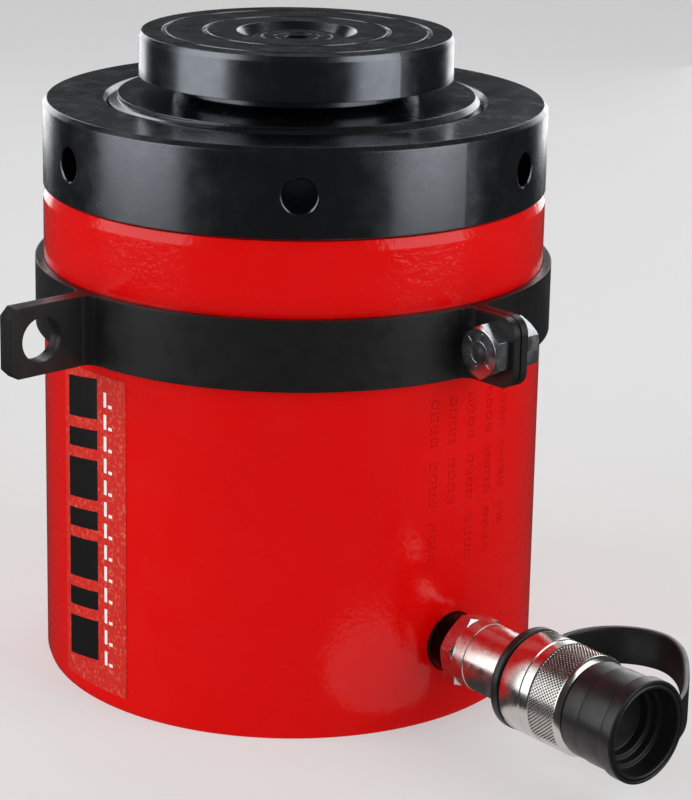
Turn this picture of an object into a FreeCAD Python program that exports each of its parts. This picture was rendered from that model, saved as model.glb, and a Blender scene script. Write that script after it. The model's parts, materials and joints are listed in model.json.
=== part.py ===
import FreeCAD, Part
import math
import os

from FreeCAD import Vector

# Lock-ring hydraulic cylinder, millimetres.
# Origin: centre of the base. Z is the cylinder axis, pointing up. X is the axis of the oil
# coupling, pointing out of the body.

X_AXIS = Vector(1, 0, 0)
Z_AXIS = Vector(0, 0, 1)
CLEAR = 0.05
OVERCUT = 1.0

# cylinder body
BODY_R = 92.5
BODY_TOP = 180.0
BODY_TOP_CHAMFER_R = 1.1
BODY_TOP_CHAMFER_H = 3.6
BODY_FOOT_CHAMFER_R = 0.7
BODY_FOOT_CHAMFER_H = 2.0
BORE_R = 70.0
BASE_T = 24.0

# piston and threaded plunger, one forging
STROKE = 100.0
PISTON_R = 69.85
PISTON_FOOT_R = 62.0
PISTON_Z0 = BASE_T + 0.2
PISTON_LAND_Z0 = 34.0
PISTON_LAND_Z1 = 62.0
SEAL_GROOVE_R = 62.5
SEAL_GROOVE_Z0 = 38.0
SEAL_H = 7.0
BACKUP_H = 2.5
WEAR_GROOVE_R = 67.2
WEAR_GROOVE_Z0 = 52.0
WEAR_H = 6.0
SEAL_OUTER_R = 69.9

# trapezoidal thread, 137 x 6: the rod and the ring's bore carry its crest surfaces
THREAD_R = 68.5
NUT_BORE_R = 68.9
PLUNGER_TOP = 213.6
PLUNGER_CHAMFER = 2.7

# gland at the mouth of the body
STOP_RING_Z0 = PISTON_LAND_Z1 + STROKE + 0.3
STOP_RING_Z1 = 178.0
STOP_RING_R = 77.0
STOP_RING_BORE_R = 69.0
GUIDE_R = 68.75
GUIDE_Z0 = 164.3
GUIDE_H = 5.0
WIPER_Z0 = 172.6
WIPER_H = 4.0
GLAND_GROOVE_R = 71.5
GRUB_R = 3.0
GRUB_L = 9.0
GRUB_SOCKET_AF = 3.0
GRUB_ANGLES = (52.0, 232.0)

# lock ring
LOCK_RING_Z0 = BODY_TOP + 0.1
LOCK_RING_Z1 = 212.0
LOCK_RING_TOP_CHAMFER_R = 1.5
LOCK_RING_TOP_CHAMFER_H = 1.7
LOCK_RING_FOOT_CHAMFER = 0.8
LOCK_RING_MOUTH_R = 70.6
TOMMY_HOLE_R = 6.0
TOMMY_HOLE_DEPTH = 16.0
TOMMY_HOLE_Z = 195.5
TOMMY_HOLE_COUNT = 6
TOMMY_FIRST_ANGLE = -38.0
TOMMY_CHAMFER = 0.6

# tilting saddle, its spherical seat, washer and screw
TILT_CENTRE_Z = 266.0
SEAT_SPHERE_R = 67.15
SADDLE_SPHERE_R = SEAT_SPHERE_R - CLEAR
SADDLE_BOSS_R = 45.0
SADDLE_R = 57.6
SADDLE_Z0 = 220.4
SADDLE_Z1 = 236.45
SADDLE_CHAMFER_R = 0.95
SADDLE_CHAMFER_H = 1.95
GROOVE_RADII = (48.6, 33.7)
GROOVE_HALF_W = 0.9
GROOVE_FLOOR_HALF_W = 0.5
GROOVE_DEPTH = 1.2
BOWL_SPHERE_R = 39.0
BOWL_R = 19.3
RECESS_MOUTH_R = 22.1
SADDLE_HOLE_TOP_R = 8.7
SADDLE_HOLE_FOOT_R = 11.2
WASHER_SPHERE_R = BOWL_SPHERE_R - CLEAR
WASHER_R = 16.0
WASHER_TOP = 234.3
WASHER_RING_R = 13.2
WASHER_RING_W = 0.8
WASHER_RING_DEPTH = 0.5
WASHER_BORE_R = 5.3
WASHER_SINK_R = 8.3
SCREW_SEAT_Z = 231.0
SCREW_HEAD_R = 8.0
SCREW_HEAD_TOP = 234.1
SCREW_R = 5.0
SCREW_Z0 = 178.0
SCREW_HOLE_Z0 = 174.0
SCREW_SOCKET_AF = 8.0
SCREW_SOCKET_DEPTH = 2.2

# lifting band
BAND_Z0 = 128.4
BAND_Z1 = 153.4
BAND_T = 3.0
BAND_IN_R = BODY_R + 0.2
BAND_BEND_R = 4.0
LUG_ANGLES = (-88.0, 92.0)
LUG_OUT_R = 129.2
LUG_CHAMFER = 3.0
LUG_HOLE_R = 8.0
LUG_HOLE_AT = 116.3
EAR_ANGLE = 2.0
EAR_GAP = 0.6
EAR_OUT_R = 118.0
EAR_CORNER_R = 6.0
EAR_HOLE_AT = 107.5
EAR_HOLE_R = 5.5
BOLT_R = 5.0
BOLT_AF = 17.0
BOLT_TURN = 30.0
BOLT_HEAD_H = 6.4
BOLT_SHANK_L = 16.4
NUT_H = 8.0

# oil port and quick coupling on the X axis
PORT_Z = 29.0
PORT_R = 8.5
PORT_X0 = 76.5
PASSAGE_R = 3.0
SPOT_FACE_X = 90.6
SPOT_FACE_R = 11.0
SEAL_RING_R = 10.6
SEAL_RING_T = 2.0
SHOULDER_X0 = SPOT_FACE_X + SEAL_RING_T
SHOULDER_R = 10.6
HEX_X0 = 99.8
HEX_X1 = 106.6
HEX_AF = 24.0
HEX_TURN = 13.0
HEX_COLLAR_R = 12.4
HEX_END_X1 = 111.6
COLLAR_EDGE = 0.3
HEX_THREAD_R = 8.4
SOCKET_X0 = 105.8
SOCKET_R = 9.0
TAIL_R = 8.9
NECK_R = 12.3
NECK_BORE_R = 7.0
NECK_BORE_X0 = 119.0
NECK_X1 = 150.0
GATE_R = 3.6
GATE_T = 4.0
BALL_R = 5.0
BALL_X = NECK_X1 - GATE_T - math.sqrt(BALL_R ** 2 - GATE_R ** 2) - CLEAR
SPRING_MEAN_R = 4.2
SPRING_WIRE_R = 0.45
SPRING_PITCH = 2.9
SPRING_X0 = NECK_BORE_X0 + SPRING_WIRE_R
SPRING_L = 18.2
NOSE_SEAL_R = 12.2
NOSE_SEAL_WIRE_R = 1.1
SNAP_RING_X = 136.6
SNAP_RING_T = 1.2
SNAP_GROOVE_R = 11.3
SNAP_RING_R = 14.2
SLEEVE_X0 = 135.4
SLEEVE_X1 = 163.6
SLEEVE_R = 17.9
SLEEVE_SKIRT_R = 12.4
SLEEVE_BORE_R = 14.6
SLEEVE_SKIRT_T = 1.0
SLEEVE_GROOVE_X = 145.5
SLEEVE_BEVEL = 1.6
CAP_X0 = 164.0
CAP_X1 = 187.7
CAP_BACK_R = 16.6
CAP_FRONT_R = 16.9
CAP_SEAM_X = 171.5
CAP_PLUG_X0 = 152.5
CAP_PLUG_R = 13.6
CAP_MOUTH_R = 15.0
CAP_FLOOR_X = 174.0
CAP_STEPS = ((180.5, 13.2), (177.5, 11.4))
STRAP_RING_X0 = 131.6
STRAP_RING_X1 = 134.8
STRAP_RING_R = 18.2
STRAP_RING_BORE_R = NECK_R + 0.1
NOSE_RING_X0 = 182.6
NOSE_RING_R = 17.9
STRAP_T = 2.4
STRAP_W = 14.0
STRAP_MID_Z = 27.0
STRAP_PATH = (
    (133.2, 16.0), (126.6, 20.0), (122.0, 26.5), (121.6, 34.0), (123.8, 42.0), (128.8, 49.5),
    (135.8, 54.6), (143.5, 56.3), (151.5, 54.0), (159.8, 48.2), (170.5, 37.4), (179.5, 26.6),
    (184.8, 17.2),
)

# printed film on the body
LABEL_T = 0.2
LABEL_ANGLES = (-100.0, -77.5)
LABEL_Z0 = 5.5
LABEL_Z1 = 124.0


def polar(radius, angle, z=0.0):
    a = math.radians(angle)
    return Vector(radius * math.cos(a), radius * math.sin(a), z)


def revolve(profile):
    """Solid of revolution about Z from (radius, z) corners."""
    points = [Vector(r, 0, z) for r, z in profile]
    face = Part.Face(Part.makePolygon(points + points[:1]))
    return face.revolve(Vector(0, 0, 0), Z_AXIS, 360)


def on_port_axis(shape):
    """Lay a shape drawn about Z down on the port axis, so that its z becomes x."""
    shape = shape.copy()
    shape.rotate(Vector(0, 0, 0), Vector(0, 1, 0), 90)
    shape.translate(Vector(0, 0, PORT_Z))
    return shape


def turned(profile):
    """Turned part on the port axis from (radius, x) corners."""
    return on_port_axis(revolve(profile))


def tube(outer_r, inner_r, low, high):
    return revolve([(inner_r, low), (outer_r, low), (outer_r, high), (inner_r, high)])


def disc(radius, low, high):
    return Part.makeCylinder(radius, high - low, Vector(0, 0, low))


def hex_prism(across_flats, low, high, turn=0.0):
    corner_r = across_flats / math.sqrt(3)
    points = [polar(corner_r, turn + 60 * i, low) for i in range(7)]
    return Part.Face(Part.makePolygon(points)).extrude(Vector(0, 0, high - low))


def bevelled_hex(across_flats, low, high, bevel_low, bevel_high, turn):
    """Hexagon with its corners turned off in a shallow cone at the ends asked for."""
    corner_r = across_flats / math.sqrt(3)
    flat_r = across_flats / 2 * 0.97
    drop = (corner_r - flat_r) * math.tan(math.radians(30))
    profile = [(0, low)]
    profile += [(flat_r, low), (corner_r, low + drop)] if bevel_low else [(corner_r, low)]
    profile += [(corner_r, high - drop), (flat_r, high)] if bevel_high else [(corner_r, high)]
    profile += [(0, high)]
    return hex_prism(across_flats, low, high, turn).common(revolve(profile))


def cylinder_body():
    body = revolve([
        (0, 0),
        (BODY_R - BODY_FOOT_CHAMFER_R, 0),
        (BODY_R, BODY_FOOT_CHAMFER_H),
        (BODY_R, BODY_TOP - BODY_TOP_CHAMFER_H),
        (BODY_R - BODY_TOP_CHAMFER_R, BODY_TOP),
        (STOP_RING_R + CLEAR, BODY_TOP),
        (STOP_RING_R + CLEAR, STOP_RING_Z0),
        (BORE_R, STOP_RING_Z0),
        (BORE_R, BASE_T),
        (0, BASE_T),
    ])
    cuts = [
        on_port_axis(disc(PORT_R, PORT_X0, BODY_R + OVERCUT)),
        on_port_axis(disc(PASSAGE_R, BORE_R - 3, PORT_X0 + OVERCUT)),
        on_port_axis(disc(SPOT_FACE_R, SPOT_FACE_X, BODY_R + OVERCUT)),
    ]
    cuts += grub_pockets()
    return body.cut(cuts)


def grub_pockets():
    return [
        Part.makeCylinder(GRUB_R + CLEAR, GRUB_L + CLEAR + BODY_TOP - STOP_RING_Z1,
                          polar(STOP_RING_R, angle, STOP_RING_Z1 - GRUB_L - CLEAR))
        for angle in GRUB_ANGLES
    ]


def stop_ring():
    """Gland that guides the plunger and stops the piston at full stroke."""
    ring = tube(STOP_RING_R, STOP_RING_BORE_R, STOP_RING_Z0 + CLEAR, STOP_RING_Z1)
    grooves = [
        tube(GLAND_GROOVE_R, STOP_RING_BORE_R - OVERCUT, GUIDE_Z0, GUIDE_Z0 + GUIDE_H),
        tube(GLAND_GROOVE_R, STOP_RING_BORE_R - OVERCUT, WIPER_Z0, WIPER_Z0 + WIPER_H),
    ]
    return ring.cut(grooves + grub_pockets())


def guide_ring():
    return tube(GLAND_GROOVE_R - CLEAR, GUIDE_R, GUIDE_Z0 + CLEAR, GUIDE_Z0 + GUIDE_H - CLEAR)


def rod_wiper():
    low = WIPER_Z0 + CLEAR
    high = WIPER_Z0 + WIPER_H - CLEAR
    return revolve([
        (GLAND_GROOVE_R - CLEAR, low),
        (GLAND_GROOVE_R - CLEAR, high),
        (GUIDE_R, high),
        (GUIDE_R + 0.8, low + 1.6),
        (GUIDE_R + 0.8, low),
    ])


def stop_ring_screws():
    screws = []
    for angle in GRUB_ANGLES:
        screw = disc(GRUB_R, STOP_RING_Z1 - GRUB_L, STOP_RING_Z1 - 0.5)
        socket = hex_prism(GRUB_SOCKET_AF, STOP_RING_Z1 - 3.5, STOP_RING_Z1)
        screw = screw.cut(socket)
        screw.translate(polar(STOP_RING_R, angle))
        screws.append(screw)
    return Part.makeCompound(screws)


def plunger():
    """Piston head, threaded rod and the spherical seat for the saddle, in one piece."""
    backup_z1 = SEAL_GROOVE_Z0 + SEAL_H + BACKUP_H
    rod = revolve([
        (0, PISTON_Z0),
        (PISTON_FOOT_R, PISTON_Z0),
        (PISTON_FOOT_R, PISTON_LAND_Z0),
        (PISTON_R, PISTON_LAND_Z0),
        (PISTON_R, SEAL_GROOVE_Z0),
        (SEAL_GROOVE_R, SEAL_GROOVE_Z0),
        (SEAL_GROOVE_R, backup_z1),
        (PISTON_R, backup_z1),
        (PISTON_R, WEAR_GROOVE_Z0),
        (WEAR_GROOVE_R, WEAR_GROOVE_Z0),
        (WEAR_GROOVE_R, WEAR_GROOVE_Z0 + WEAR_H),
        (PISTON_R, WEAR_GROOVE_Z0 + WEAR_H),
        (PISTON_R, PISTON_LAND_Z1),
        (THREAD_R, PISTON_LAND_Z1),
        (THREAD_R, PLUNGER_TOP - PLUNGER_CHAMFER),
        (THREAD_R - PLUNGER_CHAMFER, PLUNGER_TOP),
        (0, PLUNGER_TOP),
    ])
    seat = Part.makeSphere(SEAT_SPHERE_R, Vector(0, 0, TILT_CENTRE_Z))
    screw_hole = disc(SCREW_R + CLEAR, SCREW_HOLE_Z0, PLUNGER_TOP)
    return rod.cut([seat, screw_hole])


def piston_seal():
    low = SEAL_GROOVE_Z0 + CLEAR
    high = SEAL_GROOVE_Z0 + SEAL_H - CLEAR
    mid_r = (SEAL_GROOVE_R + SEAL_OUTER_R) / 2
    return revolve([
        (SEAL_GROOVE_R + CLEAR, low),
        (mid_r - 1.2, low),
        (mid_r, low + 3.0),
        (mid_r + 1.2, low),
        (SEAL_OUTER_R, low),
        (SEAL_OUTER_R, high),
        (SEAL_GROOVE_R + CLEAR, high),
    ])


def piston_backup_ring():
    low = SEAL_GROOVE_Z0 + SEAL_H
    return tube(SEAL_OUTER_R, SEAL_GROOVE_R + CLEAR, low, low + BACKUP_H - CLEAR)


def piston_wear_ring():
    low = WEAR_GROOVE_Z0 + CLEAR
    return tube(SEAL_OUTER_R, WEAR_GROOVE_R + CLEAR, low, WEAR_GROOVE_Z0 + WEAR_H - CLEAR)


def lock_ring():
    mouth = LOCK_RING_MOUTH_R - NUT_BORE_R
    ring = revolve([
        (LOCK_RING_MOUTH_R, LOCK_RING_Z0),
        (BODY_R - LOCK_RING_FOOT_CHAMFER, LOCK_RING_Z0),
        (BODY_R, LOCK_RING_Z0 + LOCK_RING_FOOT_CHAMFER),
        (BODY_R, LOCK_RING_Z1 - LOCK_RING_TOP_CHAMFER_H),
        (BODY_R - LOCK_RING_TOP_CHAMFER_R, LOCK_RING_Z1),
        (LOCK_RING_MOUTH_R, LOCK_RING_Z1),
        (NUT_BORE_R, LOCK_RING_Z1 - mouth),
        (NUT_BORE_R, LOCK_RING_Z0 + mouth),
    ])
    return ring.cut(tommy_holes())


def tommy_holes():
    drill = revolve([
        (0, BODY_R - TOMMY_HOLE_DEPTH),
        (TOMMY_HOLE_R, BODY_R - TOMMY_HOLE_DEPTH),
        (TOMMY_HOLE_R, BODY_R - TOMMY_CHAMFER),
        (TOMMY_HOLE_R + TOMMY_CHAMFER + OVERCUT, BODY_R + OVERCUT),
        (0, BODY_R + OVERCUT),
    ])
    drill.rotate(Vector(0, 0, 0), Vector(0, 1, 0), 90)
    drill.translate(Vector(0, 0, TOMMY_HOLE_Z))
    holes = []
    for i in range(TOMMY_HOLE_COUNT):
        hole = drill.copy()
        hole.rotate(Vector(0, 0, 0), Z_AXIS, TOMMY_FIRST_ANGLE + i * 360 / TOMMY_HOLE_COUNT)
        holes.append(hole)
    return holes


def saddle():
    """Disc with a spherical underside, so that it rocks in the plunger's seat."""
    disc_part = revolve([
        (0, SADDLE_Z0),
        (SADDLE_R, SADDLE_Z0),
        (SADDLE_R, SADDLE_Z1 - SADDLE_CHAMFER_H),
        (SADDLE_R - SADDLE_CHAMFER_R, SADDLE_Z1),
        (0, SADDLE_Z1),
    ])
    boss = disc(SADDLE_BOSS_R, PLUNGER_TOP - 20, SADDLE_Z0 + OVERCUT)
    ball = Part.makeSphere(SADDLE_SPHERE_R, Vector(0, 0, TILT_CENTRE_Z))
    body = disc_part.fuse(boss.common(ball))
    bowl_z = TILT_CENTRE_Z - math.sqrt(BOWL_SPHERE_R ** 2 - BOWL_R ** 2)
    recess = revolve([
        (0, bowl_z),
        (BOWL_R, bowl_z),
        (RECESS_MOUTH_R, SADDLE_Z1),
        (RECESS_MOUTH_R, SADDLE_Z1 + OVERCUT),
        (0, SADDLE_Z1 + OVERCUT),
    ])
    bowl = Part.makeSphere(BOWL_SPHERE_R, Vector(0, 0, TILT_CENTRE_Z)).common(
        disc(BOWL_R, TILT_CENTRE_Z - BOWL_SPHERE_R - OVERCUT, bowl_z + OVERCUT))
    foot_z = TILT_CENTRE_Z - SEAT_SPHERE_R
    hole = Part.makeCone(SADDLE_HOLE_FOOT_R, SADDLE_HOLE_TOP_R,
                         SCREW_SEAT_Z - foot_z, Vector(0, 0, foot_z - CLEAR))
    return body.cut([recess, bowl, hole] + face_grooves())


def face_grooves():
    return [
        revolve([
            (r - GROOVE_HALF_W, SADDLE_Z1 + OVERCUT),
            (r - GROOVE_HALF_W, SADDLE_Z1),
            (r - GROOVE_FLOOR_HALF_W, SADDLE_Z1 - GROOVE_DEPTH),
            (r + GROOVE_FLOOR_HALF_W, SADDLE_Z1 - GROOVE_DEPTH),
            (r + GROOVE_HALF_W, SADDLE_Z1),
            (r + GROOVE_HALF_W, SADDLE_Z1 + OVERCUT),
        ])
        for r in GROOVE_RADII
    ]


def saddle_washer():
    """Washer whose underside is a sphere about the tilt centre, so the bowl turns under it."""
    blank = disc(WASHER_R, TILT_CENTRE_Z - BOWL_SPHERE_R - OVERCUT, WASHER_TOP)
    ball = Part.makeSphere(WASHER_SPHERE_R, Vector(0, 0, TILT_CENTRE_Z))
    holes = [
        disc(WASHER_BORE_R, SADDLE_Z0, WASHER_TOP + OVERCUT),
        disc(WASHER_SINK_R, SCREW_SEAT_Z - CLEAR, WASHER_TOP + OVERCUT),
        tube(WASHER_RING_R, WASHER_RING_R - WASHER_RING_W,
             WASHER_TOP - WASHER_RING_DEPTH, WASHER_TOP + OVERCUT),
    ]
    return blank.common(ball).cut(holes)


def saddle_screw():
    screw = revolve([
        (0, SCREW_Z0),
        (SCREW_R, SCREW_Z0),
        (SCREW_R, SCREW_SEAT_Z),
        (SCREW_HEAD_R, SCREW_SEAT_Z),
        (SCREW_HEAD_R, SCREW_HEAD_TOP - 0.5),
        (SCREW_HEAD_R - 0.5, SCREW_HEAD_TOP),
        (0, SCREW_HEAD_TOP),
    ])
    socket = hex_prism(SCREW_SOCKET_AF, SCREW_HEAD_TOP - SCREW_SOCKET_DEPTH, SCREW_HEAD_TOP + 1)
    return screw.cut(socket)


def flange(angle, side, offset, out_r):
    """Flat end of a strip, standing out radially on one side of a parting plane."""
    near = BAND_IN_R + BAND_T / 2
    plate = Part.makeBox(out_r - near, BAND_T, BAND_Z1 - BAND_Z0)
    low = offset if side > 0 else -offset - BAND_T
    plate.translate(Vector(near, low, BAND_Z0))
    corner = bend_fillet(side, offset)
    plate = plate.fuse(corner)
    plate.rotate(Vector(0, 0, 0), Z_AXIS, angle)
    return plate


def bend_fillet(side, offset):
    """Rounded inside corner where the strip turns out from the body."""
    near = BAND_IN_R + BAND_T / 2
    far = BAND_IN_R + BAND_T + BAND_BEND_R
    low = offset + BAND_T
    across = low + BAND_BEND_R
    block = Part.makeBox(far - near, across - low + CLEAR, BAND_Z1 - BAND_Z0)
    block.translate(Vector(near, low - CLEAR, BAND_Z0))
    rounding = Part.makeCylinder(BAND_BEND_R, BAND_Z1 - BAND_Z0, Vector(far, across, BAND_Z0))
    block = block.cut(rounding)
    if side < 0:
        block = block.mirror(Vector(0, 0, 0), Vector(0, 1, 0))
    return block


def lug_trims(angle):
    """Hole and chamfered corners of one lifting lug."""
    hole = Part.makeCylinder(LUG_HOLE_R, 4 * BAND_T,
                             Vector(LUG_HOLE_AT, -2 * BAND_T, (BAND_Z0 + BAND_Z1) / 2),
                             Vector(0, 1, 0))
    trims = [hole]
    for z, way in ((BAND_Z0, 1), (BAND_Z1, -1)):
        points = [
            Vector(LUG_OUT_R + OVERCUT, -2 * BAND_T, z - way * OVERCUT),
            Vector(LUG_OUT_R - LUG_CHAMFER - OVERCUT, -2 * BAND_T, z - way * OVERCUT),
            Vector(LUG_OUT_R + OVERCUT, -2 * BAND_T, z + way * (LUG_CHAMFER + OVERCUT)),
        ]
        wedge = Part.Face(Part.makePolygon(points + points[:1]))
        trims.append(wedge.extrude(Vector(0, 4 * BAND_T, 0)))
    for trim in trims:
        trim.rotate(Vector(0, 0, 0), Z_AXIS, angle)
    return trims


def ear_trims():
    """Bolt hole and rounded corners of the two clamping ears."""
    reach = 2 * (BAND_T + EAR_GAP)
    mid_z = (BAND_Z0 + BAND_Z1) / 2
    hole = Part.makeCylinder(EAR_HOLE_R, 2 * reach, Vector(EAR_HOLE_AT, -reach, mid_z),
                             Vector(0, 1, 0))
    trims = [hole]
    for z, way in ((BAND_Z0, 1), (BAND_Z1, -1)):
        corner = Part.makeBox(EAR_CORNER_R + OVERCUT, 2 * reach, EAR_CORNER_R + OVERCUT)
        low_z = z - OVERCUT if way > 0 else z - EAR_CORNER_R
        corner.translate(Vector(EAR_OUT_R - EAR_CORNER_R, -reach, low_z))
        rounding = Part.makeCylinder(
            EAR_CORNER_R, 2 * reach,
            Vector(EAR_OUT_R - EAR_CORNER_R, -reach, z + way * EAR_CORNER_R), Vector(0, 1, 0))
        trims.append(corner.cut(rounding))
    for trim in trims:
        trim.rotate(Vector(0, 0, 0), Z_AXIS, EAR_ANGLE)
    return trims


def strip(start, stop, start_is_ear=False, stop_is_ear=False):
    """One bent strip from the parting plane at start to the one at stop, in degrees."""
    height = BAND_Z1 - BAND_Z0
    ring = tube(BAND_IN_R + BAND_T, BAND_IN_R, BAND_Z0, BAND_Z1)
    start_gap = EAR_GAP / 2 if start_is_ear else CLEAR / 2
    stop_gap = EAR_GAP / 2 if stop_is_ear else CLEAR / 2
    start_out = EAR_OUT_R if start_is_ear else LUG_OUT_R
    stop_out = EAR_OUT_R if stop_is_ear else LUG_OUT_R
    sector = sector_block(start, stop, start_gap, stop_gap, height)
    shape = ring.common(sector)
    shape = shape.fuse([flange(start, 1, start_gap, start_out),
                        flange(stop, -1, stop_gap, stop_out)])
    for angle, is_ear in ((start, start_is_ear), (stop, stop_is_ear)):
        shape = shape.cut(ear_trims() if is_ear else lug_trims(angle))
    body = disc(BAND_IN_R, BAND_Z0 - OVERCUT, BAND_Z1 + OVERCUT)
    return shape.cut(body).removeSplitter()


def sector_block(start, stop, start_gap, stop_gap, height):
    """Wedge between two parting planes, each set back by its gap."""
    reach = 2 * BODY_R
    steps = max(2, int((stop - start) / 45))
    corners = [polar(reach, start + (stop - start) * i / steps) for i in range(steps + 1)]
    points = [Vector(0, 0, 0)] + corners
    wedge = Part.Face(Part.makePolygon(points + points[:1])).extrude(Vector(0, 0, height))
    wedge.translate(Vector(0, 0, BAND_Z0))
    for angle, gap, way in ((start, start_gap, 1), (stop, stop_gap, -1)):
        slit = Part.makeBox(2 * reach, gap, height)
        slit.translate(Vector(0, 0 if way > 0 else -gap, BAND_Z0))
        slit.rotate(Vector(0, 0, 0), Z_AXIS, angle)
        wedge = wedge.cut(slit)
    return wedge


def across_ears(shape):
    """Put a fastener drawn about Z, head down, through the ears' hole."""
    shape = shape.copy()
    shape.rotate(Vector(0, 0, 0), X_AXIS, -90)
    shape.translate(Vector(EAR_HOLE_AT, 0, (BAND_Z0 + BAND_Z1) / 2))
    shape.rotate(Vector(0, 0, 0), Z_AXIS, EAR_ANGLE)
    return shape


def clamp_bolt():
    seat = -(EAR_GAP / 2 + BAND_T + CLEAR)
    head = bevelled_hex(BOLT_AF, seat - BOLT_HEAD_H, seat, True, False, BOLT_TURN)
    shank = revolve([
        (0, seat - OVERCUT),
        (BOLT_R, seat - OVERCUT),
        (BOLT_R, seat + BOLT_SHANK_L - 1),
        (BOLT_R - 1, seat + BOLT_SHANK_L),
        (0, seat + BOLT_SHANK_L),
    ])
    return across_ears(head.fuse(shank))


def clamp_nut():
    seat = EAR_GAP / 2 + BAND_T + CLEAR
    nut = bevelled_hex(BOLT_AF, seat, seat + NUT_H, True, True, BOLT_TURN)
    return across_ears(nut.cut(disc(BOLT_R + CLEAR, seat - OVERCUT, seat + NUT_H + OVERCUT)))


def port_seal():
    return turned([
        (HEX_THREAD_R + 0.2, SPOT_FACE_X + CLEAR),
        (SEAL_RING_R, SPOT_FACE_X + CLEAR),
        (SEAL_RING_R, SHOULDER_X0 - CLEAR),
        (HEX_THREAD_R + 0.2, SHOULDER_X0 - CLEAR),
    ])


def coupler_hex_end():
    """Hexagon end: its shoulder seals on the body, and its socket takes the coupling's tail."""
    hexagon = bevelled_hex(HEX_AF, HEX_X0, HEX_X1, True, True, HEX_TURN)
    turned_part = revolve([
        (PASSAGE_R, PORT_X0 + 1),
        (HEX_THREAD_R - 0.8, PORT_X0 + 1),
        (HEX_THREAD_R, PORT_X0 + 1.8),
        (HEX_THREAD_R, SHOULDER_X0),
        (SHOULDER_R, SHOULDER_X0),
        (SHOULDER_R, HEX_X0 + OVERCUT),
        (HEX_COLLAR_R, HEX_X1 - OVERCUT),
        (HEX_COLLAR_R, HEX_END_X1 - COLLAR_EDGE),
        (HEX_COLLAR_R - COLLAR_EDGE, HEX_END_X1),
        (SOCKET_R, HEX_END_X1),
        (SOCKET_R, SOCKET_X0),
        (PASSAGE_R, SOCKET_X0),
    ])
    bore = disc(PASSAGE_R, PORT_X0, SOCKET_X0)
    socket = disc(SOCKET_R, SOCKET_X0, HEX_END_X1)
    return on_port_axis(hexagon.fuse(turned_part).cut([bore, socket]))


def coupler_body():
    start = SOCKET_X0 + CLEAR
    shoulder = HEX_END_X1 + CLEAR
    return turned([
        (PASSAGE_R, start),
        (TAIL_R, start),
        (TAIL_R, shoulder),
        (NECK_R, shoulder),
        (NECK_R, SNAP_RING_X - CLEAR),
        (SNAP_GROOVE_R, SNAP_RING_X - CLEAR),
        (SNAP_GROOVE_R, SNAP_RING_X + SNAP_RING_T + CLEAR),
        (NECK_R, SNAP_RING_X + SNAP_RING_T + CLEAR),
        (NECK_R, NECK_X1),
        (NECK_BORE_R, NECK_X1),
        (NECK_BORE_R, NECK_BORE_X0),
        (PASSAGE_R, NECK_BORE_X0),
    ])


def valve_seat():
    return turned([
        (GATE_R, NECK_X1 - GATE_T),
        (NECK_BORE_R - CLEAR, NECK_X1 - GATE_T),
        (NECK_BORE_R - CLEAR, NECK_X1),
        (GATE_R, NECK_X1),
    ])


def valve_ball():
    return Part.makeSphere(BALL_R, Vector(BALL_X, 0, PORT_Z))


def valve_spring():
    helix = Part.makeHelix(SPRING_PITCH, SPRING_L, SPRING_MEAN_R)
    pipe = Part.BRepOffsetAPI.MakePipeShell(Part.Wire(helix.Edges))
    pipe.setFrenetMode(True)
    section = Part.makeCircle(SPRING_WIRE_R, Vector(SPRING_MEAN_R, 0, 0), Vector(0, 1, 0))
    pipe.add(Part.Wire(section))
    pipe.build()
    pipe.makeSolid()
    spring = pipe.shape()
    spring.translate(Vector(0, 0, SPRING_X0 + CLEAR))
    return on_port_axis(spring)


def nose_seal():
    ring = Part.makeTorus(NOSE_SEAL_R - NOSE_SEAL_WIRE_R, NOSE_SEAL_WIRE_R,
                          Vector(0, 0, NECK_X1 + NOSE_SEAL_WIRE_R + CLEAR))
    return on_port_axis(ring)


def sleeve_snap_ring():
    return turned([
        (SNAP_GROOVE_R + CLEAR, SNAP_RING_X),
        (SNAP_RING_R, SNAP_RING_X),
        (SNAP_RING_R, SNAP_RING_X + SNAP_RING_T),
        (SNAP_GROOVE_R + CLEAR, SNAP_RING_X + SNAP_RING_T),
    ])


def locking_sleeve():
    """Screwed sleeve that turns freely on the coupling's body."""
    skirt_x = SLEEVE_X0 + SLEEVE_SKIRT_T
    return turned([
        (SLEEVE_SKIRT_R, SLEEVE_X0),
        (SLEEVE_R - 0.5, SLEEVE_X0),
        (SLEEVE_R, SLEEVE_X0 + 0.5),
        (SLEEVE_R, SLEEVE_GROOVE_X - 0.4),
        (SLEEVE_R - 0.4, SLEEVE_GROOVE_X),
        (SLEEVE_R, SLEEVE_GROOVE_X + 0.4),
        (SLEEVE_R, SLEEVE_X1 - SLEEVE_BEVEL),
        (SLEEVE_R - SLEEVE_BEVEL, SLEEVE_X1),
        (SLEEVE_BORE_R, SLEEVE_X1),
        (SLEEVE_BORE_R, skirt_x),
        (SLEEVE_SKIRT_R, skirt_x),
    ])


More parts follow.
